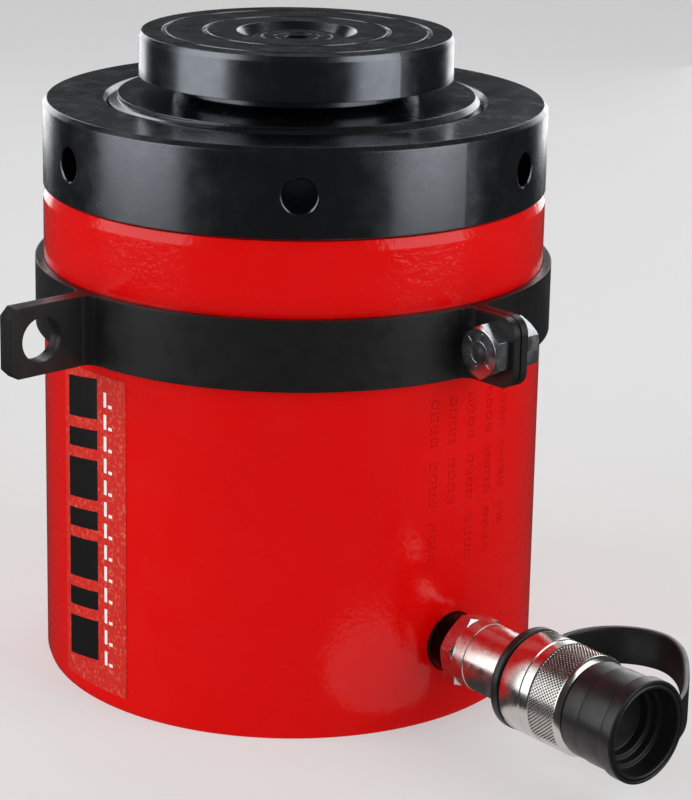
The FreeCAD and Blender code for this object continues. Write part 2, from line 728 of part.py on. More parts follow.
def dust_cap():
    """Cap with a plug behind and an open cup in front."""
    cup = [(CAP_MOUTH_R, CAP_X1)]
    for x, r in CAP_STEPS:
        cup += [(cup[-1][0], x), (r, x)]
    cup += [(cup[-1][0], CAP_FLOOR_X), (0, CAP_FLOOR_X)]
    return turned([
        (0, CAP_PLUG_X0),
        (CAP_PLUG_R - 1, CAP_PLUG_X0),
        (CAP_PLUG_R, CAP_PLUG_X0 + 1),
        (CAP_PLUG_R, CAP_X0),
        (CAP_BACK_R - 0.5, CAP_X0),
        (CAP_BACK_R, CAP_X0 + 0.5),
        (CAP_BACK_R, CAP_SEAM_X),
        (CAP_FRONT_R, CAP_SEAM_X),
        (CAP_FRONT_R, NOSE_RING_X0 - CLEAR),
        (CAP_BACK_R, NOSE_RING_X0 - CLEAR),
        (CAP_BACK_R, CAP_X1 - 0.6),
        (CAP_BACK_R - 0.6, CAP_X1),
    ] + cup)


def ribbon():
    """Flat strap standing on edge, following the tether's loop in plan."""
    path = Part.BSplineCurve()
    path.interpolate([Vector(x, y, 0) for x, y in STRAP_PATH])
    first, last = path.FirstParameter, path.LastParameter
    count = 40
    sides = ([], [])
    for i in range(count + 1):
        t = first + (last - first) * i / count
        point = path.value(t)
        along = path.tangent(t)[0]
        across = Vector(-along.y, along.x, 0) * (STRAP_T / 2)
        sides[0].append(point + across)
        sides[1].append(point - across)
    curves = []
    for side in sides:
        curve = Part.BSplineCurve()
        curve.interpolate(side)
        curves.append(curve.toShape())
    ends = [Part.makeLine(sides[0][i], sides[1][i]) for i in (0, -1)]
    face = Part.Face(Part.Wire([curves[0], ends[1], curves[1], ends[0]]))
    shape = face.extrude(Vector(0, 0, STRAP_W))
    shape.translate(Vector(0, 0, STRAP_MID_Z - STRAP_W / 2))
    return shape


def cap_tether():
    """Strap with one loop round the coupling's neck and one round the cap's nose."""
    neck_loop = turned([
        (STRAP_RING_BORE_R, STRAP_RING_X0),
        (STRAP_RING_R, STRAP_RING_X0),
        (STRAP_RING_R, STRAP_RING_X1),
        (STRAP_RING_BORE_R, STRAP_RING_X1),
    ])
    nose_loop = turned([
        (CAP_BACK_R + CLEAR, NOSE_RING_X0),
        (NOSE_RING_R, NOSE_RING_X0),
        (NOSE_RING_R, CAP_X1 - 0.6),
        (NOSE_RING_R - 0.5, CAP_X1 - 0.1),
        (CAP_BACK_R + CLEAR, CAP_X1 - 0.1),
    ])
    keep_out = [
        on_port_axis(disc(CAP_BACK_R + CLEAR, CAP_X0, CAP_X1 + OVERCUT)),
        on_port_axis(disc(CAP_FRONT_R + 0.2, CAP_SEAM_X, NOSE_RING_X0)),
        on_port_axis(disc(STRAP_RING_BORE_R, HEX_END_X1, SLEEVE_X0)),
        on_port_axis(disc(SLEEVE_R + 0.3, STRAP_RING_X1 + 0.2, SLEEVE_X1 + OVERCUT)),
    ]
    return neck_loop.fuse([nose_loop, ribbon().cut(keep_out)]).removeSplitter()


def side_label():
    start, stop = LABEL_ANGLES
    skin = tube(BODY_R + LABEL_T, BODY_R + 0.01, LABEL_Z0, LABEL_Z1)
    reach = 2 * BODY_R
    points = [Vector(0, 0, 0), polar(reach, start), polar(reach, stop)]
    wedge = Part.Face(Part.makePolygon(points + points[:1])).extrude(Vector(0, 0, BODY_TOP))
    return skin.common(wedge)


PARTS = {
    "cylinder_body": cylinder_body,
    "stop_ring": stop_ring,
    "guide_ring": guide_ring,
    "rod_wiper": rod_wiper,
    "stop_ring_screws": stop_ring_screws,
    "plunger": plunger,
    "piston_seal": piston_seal,
    "piston_backup_ring": piston_backup_ring,
    "piston_wear_ring": piston_wear_ring,
    "lock_ring": lock_ring,
    "saddle": saddle,
    "saddle_washer": saddle_washer,
    "saddle_screw": saddle_screw,
    "clamp_bolt": clamp_bolt,
    "clamp_nut": clamp_nut,
    "port_seal": port_seal,
    "coupler_hex_end": coupler_hex_end,
    "coupler_body": coupler_body,
    "valve_seat": valve_seat,
    "valve_ball": valve_ball,
    "valve_spring": valve_spring,
    "nose_seal": nose_seal,
    "sleeve_snap_ring": sleeve_snap_ring,
    "locking_sleeve": locking_sleeve,
    "dust_cap": dust_cap,
    "cap_tether": cap_tether,
    "side_label": side_label,
}


def band_strips():
    near, far = LUG_ANGLES
    return {
        "band_front_strip": strip(near, EAR_ANGLE, stop_is_ear=True),
        "band_side_strip": strip(EAR_ANGLE, far, start_is_ear=True),
        "band_rear_strip": strip(far, near + 360),
    }


def main():
    os.makedirs("parts", exist_ok=True)
    shapes = {name: build() for name, build in PARTS.items()}
    shapes.update(band_strips())
    for name, shape in shapes.items():
        assert shape.isValid() and shape.Volume > 0, name
        shape.exportStep(os.path.join("parts", name + ".step"))
        print(name, len(shape.Solids), round(shape.Volume, 1))


main()
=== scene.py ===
import json
import math

import bmesh
import bpy
from mathutils import Matrix, Quaternion, Vector


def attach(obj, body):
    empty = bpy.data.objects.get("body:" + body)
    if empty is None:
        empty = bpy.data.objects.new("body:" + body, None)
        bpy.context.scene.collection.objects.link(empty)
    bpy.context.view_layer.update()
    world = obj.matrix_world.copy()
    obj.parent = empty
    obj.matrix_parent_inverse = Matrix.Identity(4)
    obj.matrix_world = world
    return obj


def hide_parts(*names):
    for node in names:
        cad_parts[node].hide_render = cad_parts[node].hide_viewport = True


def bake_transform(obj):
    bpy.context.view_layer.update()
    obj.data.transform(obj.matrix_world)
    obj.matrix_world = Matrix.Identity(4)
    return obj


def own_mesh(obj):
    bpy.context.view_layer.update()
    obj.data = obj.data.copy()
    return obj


MM = 0.001

# camera, in the row frame
CAMERA_AT = Vector((0.6885, -0.5580, 0.3786))
CAMERA_FORWARD = Vector((-0.7404, 0.6273, -0.2415))
CAMERA_ROLL = math.radians(1.12)
CAMERA_LENS = 110.4
CAMERA_SHIFT_Y = -0.2
FRONT = math.radians(-38.0)

# sizes shared with the frame, in metres
BODY_R = 92.5 * MM
PORT_Z = 29.0 * MM
HEX_BACK_X = 99.8 * MM
# width of the fade at the edge of the painted shade on the hexagon end's shoulder
SHOULDER_SHADE_FADE = 0.1 * MM

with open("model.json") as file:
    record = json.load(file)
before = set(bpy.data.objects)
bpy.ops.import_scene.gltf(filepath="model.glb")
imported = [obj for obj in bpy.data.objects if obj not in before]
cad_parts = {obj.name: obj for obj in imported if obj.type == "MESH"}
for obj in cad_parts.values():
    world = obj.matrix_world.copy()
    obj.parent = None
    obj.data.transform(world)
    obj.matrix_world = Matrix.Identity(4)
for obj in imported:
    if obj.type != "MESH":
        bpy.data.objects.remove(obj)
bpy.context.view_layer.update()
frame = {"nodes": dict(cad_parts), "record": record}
nodes = frame["nodes"]


# ---------------------------------------------------------------- materials

def new_material(name, color, metallic=0.0, roughness=0.5, **settings):
    """Principled material; settings are socket names with spaces as underscores."""
    mat = bpy.data.materials.new(name)
    mat.use_nodes = True
    shader = mat.node_tree.nodes["Principled BSDF"]
    shader.inputs["Base Color"].default_value = (*color, 1.0)
    shader.inputs["Metallic"].default_value = metallic
    shader.inputs["Roughness"].default_value = roughness
    for key, value in settings.items():
        shader.inputs[key.replace("_", " ")].default_value = value
    return mat


def node(mat, kind, **inputs):
    """Adds a shader node and sets its inputs by name."""
    made = mat.node_tree.nodes.new(kind)
    for key, value in inputs.items():
        made.inputs[key.replace("_", " ")].default_value = value
    return made


def join(mat, source, target):
    mat.node_tree.links.new(source, target)


def shader_of(mat):
    return mat.node_tree.nodes["Principled BSDF"]


def place(mat, stretch=(1.0, 1.0, 1.0)):
    """Object coordinates, which are the row frame in metres, stretched along each axis."""
    coords = node(mat, "ShaderNodeTexCoord")
    mapping = node(mat, "ShaderNodeMapping")
    mapping.inputs["Scale"].default_value = stretch
    join(mat, coords.outputs["Object"], mapping.inputs["Vector"])
    return mapping.outputs["Vector"]


def turned_place(mat, offset=(0.0, 0.0, 0.0), flip=False):
    """Coordinates (radius, height) about a turning axis, so noise makes turning marks."""
    coords = node(mat, "ShaderNodeTexCoord")
    moved = node(mat, "ShaderNodeVectorMath")
    moved.operation = "SUBTRACT"
    moved.inputs[1].default_value = offset
    join(mat, coords.outputs["Object"], moved.inputs[0])
    parts = node(mat, "ShaderNodeSeparateXYZ")
    join(mat, moved.outputs[0], parts.inputs[0])
    across = ("Y", "Z") if flip else ("X", "Y")
    along = "X" if flip else "Z"
    flat = node(mat, "ShaderNodeCombineXYZ")
    join(mat, parts.outputs[across[0]], flat.inputs["X"])
    join(mat, parts.outputs[across[1]], flat.inputs["Y"])
    radius = node(mat, "ShaderNodeVectorMath")
    radius.operation = "LENGTH"
    join(mat, flat.outputs[0], radius.inputs[0])
    pair = node(mat, "ShaderNodeCombineXYZ")
    join(mat, radius.outputs["Value"], pair.inputs["X"])
    join(mat, parts.outputs[along], pair.inputs["Y"])
    return pair.outputs[0]


def noise(mat, vector, scale, detail=2.0, roughness=0.5):
    made = node(mat, "ShaderNodeTexNoise", Scale=scale, Detail=detail, Roughness=roughness)
    join(mat, vector, made.inputs["Vector"])
    return made.outputs["Fac"]


def remap(mat, value, low, high, to_low, to_high):
    made = node(mat, "ShaderNodeMapRange", From_Min=low, From_Max=high, To_Min=to_low, To_Max=to_high)
    join(mat, value, made.inputs["Value"])
    return made.outputs["Result"]


def tint(mat, factor, color_a, color_b):
    """Base colour that varies between two colours with factor."""
    mix = node(mat, "ShaderNodeMix")
    mix.data_type = "RGBA"
    mix.inputs["A"].default_value = (*color_a, 1.0)
    mix.inputs["B"].default_value = (*color_b, 1.0)
    join(mat, factor, mix.inputs["Factor"])
    join(mat, mix.outputs["Result"], shader_of(mat).inputs["Base Color"])


def bumps(mat, heights, edge=0.0):
    """Chains bump nodes (height output, strength, distance in metres) over a rounded edge."""
    normal = None
    if edge:
        bevel = node(mat, "ShaderNodeBevel", Radius=edge)
        bevel.samples = 4
        normal = bevel.outputs["Normal"]
    for height, strength, distance in heights:
        bump = node(mat, "ShaderNodeBump", Strength=strength, Distance=distance)
        join(mat, height, bump.inputs["Height"])
        if normal is not None:
            join(mat, normal, bump.inputs["Normal"])
        normal = bump.outputs["Normal"]
    join(mat, normal, shader_of(mat).inputs["Normal"])
    return normal


def red_paint():
    mat = new_material("red_paint", (0.76, 0.001, 0.0005), roughness=0.3, IOR=1.2,
                       Coat_Weight=0.75, Coat_Roughness=0.08, Coat_IOR=1.4)
    at = place(mat)
    tint(mat, noise(mat, at, 14.0), (0.72, 0.0008, 0.0004), (0.80, 0.0015, 0.0008))
    rough = remap(mat, noise(mat, at, 60.0, 4.0), 0.3, 0.7, 0.22, 0.32)
    join(mat, rough, shader_of(mat).inputs["Roughness"])
    peel = noise(mat, at, 800.0, 2.0, 0.5)
    ripple = noise(mat, at, 300.0, 1.0)
    normal = bumps(mat, [(ripple, 0.7, 0.00015), (peel, 0.7, 0.00012)], edge=0.0006)
    join(mat, normal, shader_of(mat).inputs["Coat Normal"])
    return mat


def black_steel():
    """Black oxide over turned steel: dark, satin, with turning marks and fine scratches."""
    mat = new_material("black_steel", (0.15, 0.16, 0.18), metallic=1.0, roughness=0.25)
    at = place(mat)
    tint(mat, noise(mat, at, 35.0, 5.0), (0.125, 0.138, 0.156), (0.175, 0.188, 0.206))
    marks = noise(mat, turned_place(mat), 2600.0, 2.0)
    rough = remap(mat, noise(mat, at, 120.0, 6.0, 0.6), 0.25, 0.75, 0.17, 0.31)
    join(mat, rough, shader_of(mat).inputs["Roughness"])
    scratches = noise(mat, place(mat, (1.0, 1.0, 9.0)), 260.0, 6.0, 0.7)
    bumps(mat, [(marks, 0.35, 0.00002), (scratches, 0.12, 0.00004)], edge=0.0005)
    return mat


def band_coat():
    mat = new_material("band_coat", (0.010, 0.010, 0.010), roughness=0.38, IOR=1.5)
    at = place(mat)
    tint(mat, noise(mat, at, 30.0, 3.0), (0.007, 0.007, 0.007), (0.014, 0.014, 0.014))
    rough = remap(mat, noise(mat, at, 200.0, 3.0), 0.3, 0.7, 0.3, 0.46)
    join(mat, rough, shader_of(mat).inputs["Roughness"])
    grain = noise(mat, at, 1300.0, 2.0)
    bumps(mat, [(grain, 0.35, 0.00004)], edge=0.0006)
    return mat


def plated(name, color, low, high, flip, scale=2400.0, edge=0.0003):
    """Bright plating over turned metal."""
    mat = new_material(name, color, metallic=1.0, roughness=low)
    offset = (0.0, 0.0, PORT_Z) if flip else (0.0, 0.0, 0.0)
    at = place(mat)
    dull = tuple(c * 0.86 for c in color)
    tint(mat, noise(mat, at, 90.0, 5.0), color, dull)
    rough = remap(mat, noise(mat, at, 260.0, 4.0), 0.3, 0.7, low, high)
    join(mat, rough, shader_of(mat).inputs["Roughness"])
    marks = noise(mat, turned_place(mat, offset, flip), scale, 2.0)
    bumps(mat, [(marks, 0.3, 0.00002)], edge)
    return mat


def painted_shade_shoulder(mat):
    """Paints shade on the hexagon end's shoulder behind the hexagon: a dark painted shadow that fades
    out just short of the hexagon's back.
    """
    shader = shader_of(mat)
    coords = node(mat, "ShaderNodeTexCoord")
    parts = node(mat, "ShaderNodeSeparateXYZ")
    join(mat, coords.outputs["Object"], parts.inputs[0])
    bright = remap(mat, parts.outputs["X"], HEX_BACK_X - 2 * SHOULDER_SHADE_FADE,
                   HEX_BACK_X - SHOULDER_SHADE_FADE, 0.0, 1.0)
    plating = shader.inputs["Base Color"].links[0].from_socket
    mix = node(mat, "ShaderNodeMix")
    mix.data_type = "RGBA"
    # painted shade colour for the shoulder
    mix.inputs["A"].default_value = (0.012, 0.010, 0.009, 1.0)
    join(mat, plating, mix.inputs["B"])
    join(mat, bright, mix.inputs["Factor"])
    join(mat, mix.outputs["Result"], shader.inputs["Base Color"])
    return mat


def moulded():
    """Satin black moulding with a fine grain and a few specks of dust."""
    color = (0.011, 0.011, 0.012)
    mat = new_material("cap_plastic", color, roughness=0.36, IOR=1.5)
    at = place(mat)
    specks = node(mat, "ShaderNodeTexVoronoi", Scale=260.0)
    join(mat, at, specks.inputs["Vector"])
    dust = remap(mat, specks.outputs["Distance"], 0.0, 0.05, 0.35, 0.0)
    tint(mat, dust, color, (0.25, 0.24, 0.22))
    rough = remap(mat, noise(mat, at, 150.0, 4.0), 0.3, 0.7, 0.3, 0.44)
    join(mat, rough, shader_of(mat).inputs["Roughness"])
    bumps(mat, [(noise(mat, at, 1500.0, 2.0), 0.2, 0.00003)], edge=0.0004)
    return mat


def label_film():
    """Glossy film whose red print has paler specks."""
    mat = new_material("label_film", (0.72, 0.03, 0.015), roughness=0.3, Coat_Weight=0.4,
                       Coat_Roughness=0.12)
    at = place(mat)
    fine = noise(mat, at, 700.0, 3.0, 0.7)
    specks = remap(mat, fine, 0.52, 0.66, 0.0, 1.0)
    tint(mat, specks, (0.68, 0.014, 0.008), (0.80, 0.12, 0.07))
    bumps(mat, [(noise(mat, at, 500.0, 2.0), 0.4, 0.00008)])
    return mat


def ink(name, color):
    mat = new_material(name, color, roughness=0.4, Coat_Weight=0.3, Coat_Roughness=0.15)
    at = place(mat)
    lighter = tuple(min(1.0, c * 1.15 + 0.004) for c in color)
    tint(mat, noise(mat, at, 500.0, 3.0), color, lighter)
    bumps(mat, [(noise(mat, at, 500.0, 2.0), 0.3, 0.00006)])
    return mat


def rubber():
    mat = new_material("seal_rubber", (0.012, 0.012, 0.012), roughness=0.55)
    at = place(mat)
    tint(mat, noise(mat, at, 200.0, 3.0), (0.010, 0.010, 0.010), (0.020, 0.020, 0.020))
    bumps(mat, [(noise(mat, at, 1200.0, 2.0), 0.3, 0.00003)], edge=0.0002)
    return mat


def wear_plastic():
    mat = new_material("wear_plastic", (0.30, 0.18, 0.08), roughness=0.5)
    at = place(mat)
    tint(mat, noise(mat, at, 300.0, 4.0), (0.26, 0.15, 0.07), (0.36, 0.22, 0.10))
    bumps(mat, [(noise(mat, at, 900.0, 2.0), 0.2, 0.00003)], edge=0.0002)
    return mat


BRIGHT = (0.74, 0.72, 0.69)
ZINC = (0.74, 0.77, 0.80)
FINISHES = {
    "red_paint": red_paint(),
    "black_steel": black_steel(),
    "band_coat": band_coat(),
    "zinc_plate": plated("zinc_plate", ZINC, 0.14, 0.3, False, 900.0),
    "bright_plate": plated("bright_plate", BRIGHT, 0.16, 0.3, True),
    # hexagon end plating, with painted shade on its shoulder
    "hex_plate_painted_shade": painted_shade_shoulder(plated("hex_plate_painted_shade", BRIGHT, 0.18, 0.34, True)),
    "knurl_plate": plated("knurl_plate", BRIGHT, 0.16, 0.28, True, edge=0.0),
    "valve_steel": plated("valve_steel", (0.55, 0.56, 0.58), 0.15, 0.25, True),
    "gland_steel": plated("gland_steel", (0.30, 0.30, 0.31), 0.25, 0.4, False),
    "wear_plastic": wear_plastic(),
    "seal_rubber": rubber(),
    "cap_plastic": moulded(),
    "label_film": label_film(),
}


def finish_nodes():
    """Gives every CAD node the finish that its record slot names, except the hexagon end, which gets
    plating with painted shade on its shoulder.
    """
    slots = {s["node"]: s["material_slot"] for s in frame["record"]["subparts"]}
    for name, obj in nodes.items():
        finish = FINISHES["hex_plate_painted_shade" if name == "coupler_hex_end" else slots[name]]
        if not obj.material_slots:
            obj.data.materials.append(finish)
        for slot in obj.material_slots:
            slot.material = finish


finish_nodes()


# ---------------------------------------------------------------- mesh helpers

def add_object(name, mesh, finish, smooth_angle=None):
    obj = bpy.data.objects.new(name, mesh)
    bpy.context.scene.collection.objects.link(obj)
    mesh.materials.append(finish)
    if smooth_angle is not None:
        mesh.polygons.foreach_set("use_smooth", [True] * len(mesh.polygons))
        mesh.set_sharp_from_angle(angle=math.radians(smooth_angle))
    return obj


def mesh_from(name, verts, faces):
    mesh = bpy.data.meshes.new(name)
    mesh.from_pydata([tuple(v) for v in verts], [], faces)
    bm = bmesh.new()
    bm.from_mesh(mesh)
    bmesh.ops.recalc_face_normals(bm, faces=bm.faces)
    bm.to_mesh(mesh)
    bm.free()
    return mesh


def lathe(name, profile, segments, finish, smooth_angle=30, change=None):
    """Turned piece about the port axis from a closed loop of (x, radius) in millimetres.

    change(angle, x) adds to the radius of the points whose third value is true."""
    verts, faces = [], []
    count = len(profile)
    for i in range(segments):
        angle = 2 * math.pi * i / segments
        for point in profile:
            x, r = point[0], point[1]
            if change and len(point) > 2:
                r += change(angle, x)
            verts.append((x * MM, r * MM * math.cos(angle), PORT_Z + r * MM * math.sin(angle)))
    for i in range(segments):
        a, b = i * count, (i + 1) % segments * count
        for j in range(count):
            k = (j + 1) % count
            faces.append((a + j, b + j, b + k, a + k))
    return add_object(name, mesh_from(name, verts, faces), finish, smooth_angle)


def rounded(points, radius, steps=4):
    """Rounds the corners of a closed (x, r) loop."""
    out = []
    count = len(points)
    for i, corner in enumerate(points):
        here = Vector(corner)
        before = Vector(points[i - 1]) - here
        after = Vector(points[(i + 1) % count]) - here
        cut = min(radius, before.length * 0.45, after.length * 0.45)
        a = here + before.normalized() * cut
        b = here + after.normalized() * cut
        for s in range(steps + 1):
            t = s / steps
            p = a * (1 - t) ** 2 + here * (2 * t * (1 - t)) + b * t ** 2
            out.append((p.x, p.y))
    return out


# ---------------------------------------------------------------- threaded plunger and ring

PITCH = 6.0
THREAD_R, THREAD_ROOT_R = 68.5, 65.2
CREST_HALF, ROOT_HALF = 0.95, 1.78
THREAD_LOW, THREAD_HIGH = 62.0, 213.6
THREAD_CHAMFER = 2.7
TURN_STEPS = 180
TILT_CENTRE_Z, SEAT_SPHERE_R, SEAT_EDGE_R = 266.0, 67.15, 42.0
RING_LOW, RING_HIGH = 182.2, 210.0


def rod_radius(angle, z):
    """Radius of the trapezoidal thread at an angle and a height."""
    along = ((z - THREAD_LOW) / PITCH - angle / (2 * math.pi)) % 1.0
    off_crest = min(along, 1.0 - along) * PITCH
    slope = (off_crest - CREST_HALF) / (ROOT_HALF - CREST_HALF)
    radius = THREAD_R - (THREAD_R - THREAD_ROOT_R) * min(max(slope, 0.0), 1.0)
    return min(radius, THREAD_R - max(0.0, z - (THREAD_HIGH - THREAD_CHAMFER)))


def thread_column(angle):
    """Profile points of the thread at one angle, low to high."""
    offsets = (-ROOT_HALF, -CREST_HALF, 0.0, CREST_HALF, ROOT_HALF, PITCH / 2)
    turns = int((THREAD_HIGH - THREAD_LOW) / PITCH) + 3
    lead = PITCH * angle / (2 * math.pi)
    column = []
    for turn in range(-1, turns):
        for offset in offsets:
            z = THREAD_LOW + lead + turn * PITCH + offset
            z = min(max(z, THREAD_LOW), THREAD_HIGH)
            column.append((rod_radius(angle, z), z))
    return column


def seat_profile():
    """Spherical seat from its edge down to the screw hole, then the hole."""
    hole_r, hole_z = 5.05, 174.0
    points = []
    for i in range(13):
        r = SEAT_EDGE_R + (hole_r - SEAT_EDGE_R) * i / 12
        points.append((r, TILT_CENTRE_Z - math.sqrt(SEAT_SPHERE_R ** 2 - r * r)))
    return points + [(hole_r, hole_z), (0.0, hole_z)]


PISTON_PROFILE = [
    (0.0, 24.2), (61.0, 24.2), (62.0, 25.2), (62.0, 34.0), (69.35, 34.0), (69.85, 34.5),
    (69.85, 38.0), (62.5, 38.0), (62.5, 47.5), (69.85, 47.5), (69.85, 52.0), (67.2, 52.0),
    (67.2, 58.0), (69.85, 58.0), (69.85, 61.5), (69.35, 62.0),
]


def build_plunger():
    verts, faces = [], []
    columns = []
    for i in range(TURN_STEPS):
        angle = 2 * math.pi * i / TURN_STEPS
        columns.append((angle, PISTON_PROFILE + thread_column(angle) + seat_profile()))
    count = len(columns[0][1])
    for angle, column in columns:
        for r, z in column:
            verts.append((r * MM * math.cos(angle), r * MM * math.sin(angle), z * MM))
    # past the full turn the thread has climbed one pitch, so the seam joins rows one pitch apart
    rows_per_turn = 6
    head, tail = len(PISTON_PROFILE), len(seat_profile())
    for i in range(TURN_STEPS):
        a = i * count
        b = (i + 1) % TURN_STEPS * count
        wraps = i + 1 == TURN_STEPS
        for j in range(count - 1):
            threaded = head <= j < count - tail - 1
            shift = rows_per_turn if wraps and threaded else 0
            first = min(j + shift, count - tail - 1) if threaded else j
            second = min(j + 1 + shift, count - tail - 1) if threaded else j + 1
            faces.append((a + j, b + first, b + second, a + j + 1))
    plunger = finish_turned("threaded_plunger", verts, faces, FINISHES["black_steel"])
    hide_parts("plunger")
    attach(plunger, "ram")


def finish_turned(name, verts, faces, finish):
    """Mesh whose repeated points are merged and whose empty faces are dropped."""
    mesh = bpy.data.meshes.new(name)
    mesh.from_pydata(verts, [], [tuple(dict.fromkeys(f)) for f in faces if len(set(f)) > 2])
    bm = bmesh.new()
    bm.from_mesh(mesh)
    bmesh.ops.remove_doubles(bm, verts=bm.verts, dist=1e-6)
    bmesh.ops.dissolve_degenerate(bm, edges=bm.edges, dist=1e-6)
    bmesh.ops.recalc_face_normals(bm, faces=bm.faces)
    bm.to_mesh(mesh)
    bm.free()
    return add_object(name, mesh, finish, 25)


def build_ring_thread():
    """Internal ridge of the lock ring, midway between the rod's crests."""
    base_r, tip_r, tip_half, base_half = 69.0, 65.75, 0.95, 1.78
    first = THREAD_LOW + PITCH * (math.ceil((RING_LOW - THREAD_LOW) / PITCH) - 0.5)
    last = RING_HIGH - base_half
    start = max(0.0, (RING_LOW + base_half - first) / PITCH)
    turns = (last - first) / PITCH - start
    steps = int(turns * TURN_STEPS)
    runout = TURN_STEPS // 10
    verts, faces = [], []
    for i in range(steps + 1):
        turn = start + turns * i / steps
        angle = 2 * math.pi * turn
        height = min(1.0, i / runout, (steps - i) / runout)
        tip = base_r + (tip_r - base_r) * max(height, 0.05)
        mid = first + PITCH * turn
        for r, z in ((base_r, -base_half), (tip, -tip_half), (tip, tip_half), (base_r, base_half)):
            verts.append((r * MM * math.cos(angle), r * MM * math.sin(angle), (mid + z) * MM))
    for i in range(steps):
        for j in range(4):
            k = (j + 1) % 4
            faces.append((4 * i + j, 4 * i + k, 4 * i + 4 + k, 4 * i + 4 + j))
    faces += [(0, 3, 2, 1), tuple(4 * steps + j for j in range(4))]
    ridge = add_object("lock_ring_thread", mesh_from("lock_ring_thread", verts, faces),
                       FINISHES["black_steel"], 25)
    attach(ridge, "ring")


def build_spring():
    """Copy of the valve spring, carried with the cylinder."""
    mesh = nodes["valve_spring"].data.copy()
    mesh.materials.clear()
    spring = add_object("closing_spring", mesh, FINISHES["valve_steel"])
    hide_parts("valve_spring")
    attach(spring, "cylinder")
    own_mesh(spring)


build_plunger()
build_ring_thread()
build_spring()


# ---------------------------------------------------------------- coupling

SLEEVE_X0, SLEEVE_X1, SLEEVE_R = 135.4, 163.6, 17.9
SLEEVE_BORE_R, SLEEVE_SKIRT_R = 14.6, 12.4
KNURL_X0, KNURL_X1 = 149.6, 161.2
KNURL_COUNT, KNURL_SAMPLES = 84, 6
KNURL_PITCH_X = 1.5
KNURL_STEP_X = KNURL_PITCH_X / KNURL_SAMPLES
KNURL_DEPTH = 0.55


def knurl(angle, x):
    """Depth of the diamond knurl: grooves run along two opposite helices."""
    turn = angle / (2 * math.pi) * KNURL_COUNT
    rise = (x - KNURL_X0) / KNURL_PITCH_X
    first = abs(2 * ((turn + rise) % 1.0) - 1)
    second = abs(2 * ((turn - rise) % 1.0) - 1)
    return -KNURL_DEPTH * max(first, second)


def build_sleeve():
    steps = int(round((KNURL_X1 - KNURL_X0) / KNURL_STEP_X))
    band = [(KNURL_X0 + i * KNURL_STEP_X, SLEEVE_R, True) for i in range(steps + 1)]
    skirt_x = SLEEVE_X0 + 1.0
    profile = [
        (SLEEVE_X0, SLEEVE_SKIRT_R), (SLEEVE_X0, SLEEVE_R - 0.6),
        (SLEEVE_X0 + 0.2, SLEEVE_R - 0.2), (SLEEVE_X0 + 0.6, SLEEVE_R),
        (144.9, SLEEVE_R), (145.2, SLEEVE_R - 0.35), (145.7, SLEEVE_R - 0.35), (146.0, SLEEVE_R),
        (KNURL_X0 - 0.5, SLEEVE_R), (KNURL_X0 - 0.1, SLEEVE_R - 0.25),
    ]
    profile += band
    profile += [
        (KNURL_X1 + 0.15, SLEEVE_R - 0.25), (KNURL_X1 + 0.3, SLEEVE_R - 0.1),
        (SLEEVE_X1 - 1.6, SLEEVE_R - 0.1), (SLEEVE_X1 - 1.0, SLEEVE_R - 0.5),
        (SLEEVE_X1 - 0.2, SLEEVE_R - 1.5), (SLEEVE_X1, SLEEVE_R - 1.9),
        (SLEEVE_X1, SLEEVE_BORE_R), (skirt_x, SLEEVE_BORE_R), (skirt_x, SLEEVE_SKIRT_R),
    ]
    sleeve = lathe("knurled_sleeve", profile, KNURL_COUNT * KNURL_SAMPLES,
                   FINISHES["knurl_plate"], 28, knurl)
    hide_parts("locking_sleeve")
    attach(sleeve, "sleeve")


CAP_X0, CAP_X1 = 164.0, 187.7


def build_cap():
    outline = [
        (152.5, 0.6), (152.5, 12.8), (153.4, 13.6), (163.9, 13.6), (CAP_X0, 16.0), (164.4, 16.6),
        (171.2, 16.6), (171.4, 16.45), (171.7, 16.9), (182.5, 16.9), (182.5, 16.6),
        (CAP_X1 - 0.5, 16.6), (CAP_X1, 16.1), (CAP_X1, 15.4), (CAP_X1 - 0.4, 15.0),
        (180.5, 15.0), (180.5, 13.2), (177.5, 13.2), (177.5, 11.4), (174.0, 11.4), (174.0, 0.6),
    ]
    cap = lathe("dust_cap_moulding", rounded(outline, 0.5, 3), 120, FINISHES["cap_plastic"], 40)
    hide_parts("dust_cap")
    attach(cap, "cap")


STRAP_PATH = [
    (133.2, 16.0), (126.6, 20.0), (122.0, 26.5), (121.6, 34.0), (123.8, 42.0), (128.8, 49.5),
    (135.8, 54.6), (143.5, 56.3), (151.5, 54.0), (159.8, 48.2), (170.5, 37.4), (179.5, 26.6),
    (184.8, 17.2),
]
STRAP_T, STRAP_W, STRAP_EDGE = 2.4, 14.0, 0.7
STRAP_MID_Z = 27.0


def smooth_path(points, per_span=8):
    """Catmull-Rom curve through the points."""
    pts = [Vector(points[0]) * 2 - Vector(points[1])]
    pts += [Vector(p) for p in points]
    pts += [Vector(points[-1]) * 2 - Vector(points[-2])]
    out = []
    for i in range(1, len(pts) - 2):
        p0, p1, p2, p3 = pts[i - 1:i + 3]
        for s in range(per_span):
            t = s / per_span
            out.append(0.5 * ((2 * p1) + (p2 - p0) * t + (2 * p0 - 5 * p1 + 4 * p2 - p3) * t * t
                              + (3 * p1 - p0 - 3 * p2 + p3) * t ** 3))
    out.append(pts[-2])
    return out


def strap_section():
    """Rounded rectangle standing on edge, as (across, up) in millimetres."""
    half_t, half_w = STRAP_T / 2, STRAP_W / 2
    corners = [(half_t, -half_w), (half_t, half_w), (-half_t, half_w), (-half_t, -half_w)]
    return rounded(corners, STRAP_EDGE, 3)


